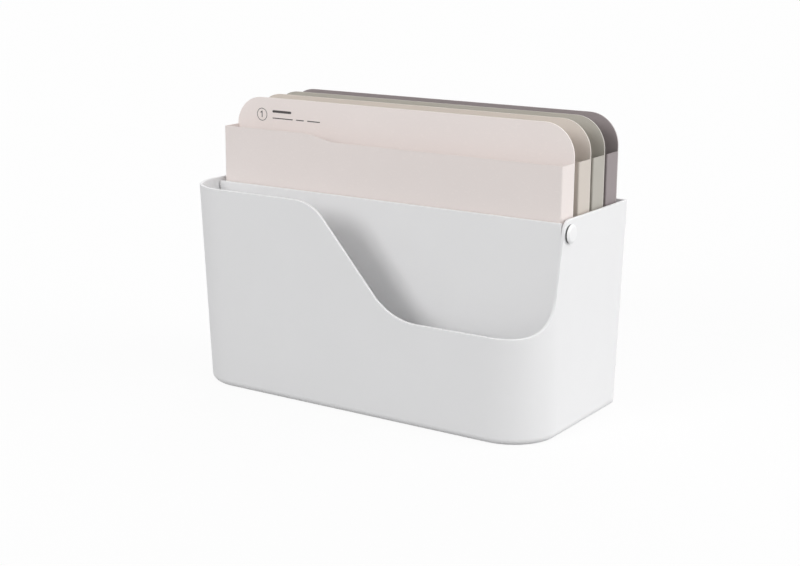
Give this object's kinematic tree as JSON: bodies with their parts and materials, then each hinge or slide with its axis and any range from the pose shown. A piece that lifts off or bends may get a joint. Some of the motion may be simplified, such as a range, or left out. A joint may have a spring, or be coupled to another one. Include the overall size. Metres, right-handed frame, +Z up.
{
  "type": "document organizer",
  "caption": "White drafted desk tub with an S-scooped front, a hinged divider and colour-graded tabbed pocket folders that lift out, for letters and A4 papers.",
  "frame": {"origin": "on the standing plane, under the middle of the rim outline", "axes": "+X to the right seen from the front, +Y to the rear, +Z up"},
  "size_m": [0.3358, 0.151, 0.2353],
  "materials": {
    "tub_white": "satin moulded",
    "panel_white": "satin moulded",
    "pin_white": "smooth moulded",
    "card_blush": "matt coated",
    "card_sand": "matt coated",
    "card_sage": "matt coated",
    "card_mauve": "matt coated"
  },
  "bodies": {
    "bin": {"bin": "tub_white"},
    "divider": {"divider": "panel_white", "pin_left": "pin_white", "pin_right": "pin_white"},
    "folder_1": {"folder_1_back": "card_blush", "folder_1_pocket": "card_blush"},
    "folder_2": {"folder_2_back": "card_sand", "folder_2_pocket": "card_sand"},
    "folder_3": {"folder_3_back": "card_sage", "folder_3_pocket": "card_sage"},
    "folder_4": {"folder_4_back": "card_mauve", "folder_4_pocket": "card_mauve"}
  },
  "joints": [
    {"name": "divider_swing", "type": "hinge", "parent": "bin", "child": "divider", "pos_m": [0, -0.02308, 0.1573], "axis": [-1, 0, 0], "range_deg": [0, 6]},
    {"name": "folder_1_lift", "type": "slide", "parent": "bin", "child": "folder_1", "axis": [0, 0, 1], "range_m": [0, 0.18]},
    {"name": "folder_2_lift", "type": "slide", "parent": "bin", "child": "folder_2", "axis": [0, 0, 1], "range_m": [0, 0.18]},
    {"name": "folder_3_lift", "type": "slide", "parent": "bin", "child": "folder_3", "axis": [0, 0, 1], "range_m": [0, 0.18]},
    {"name": "folder_4_lift", "type": "slide", "parent": "bin", "child": "folder_4", "axis": [0, 0, 1], "range_m": [0, 0.18]}
  ]
}
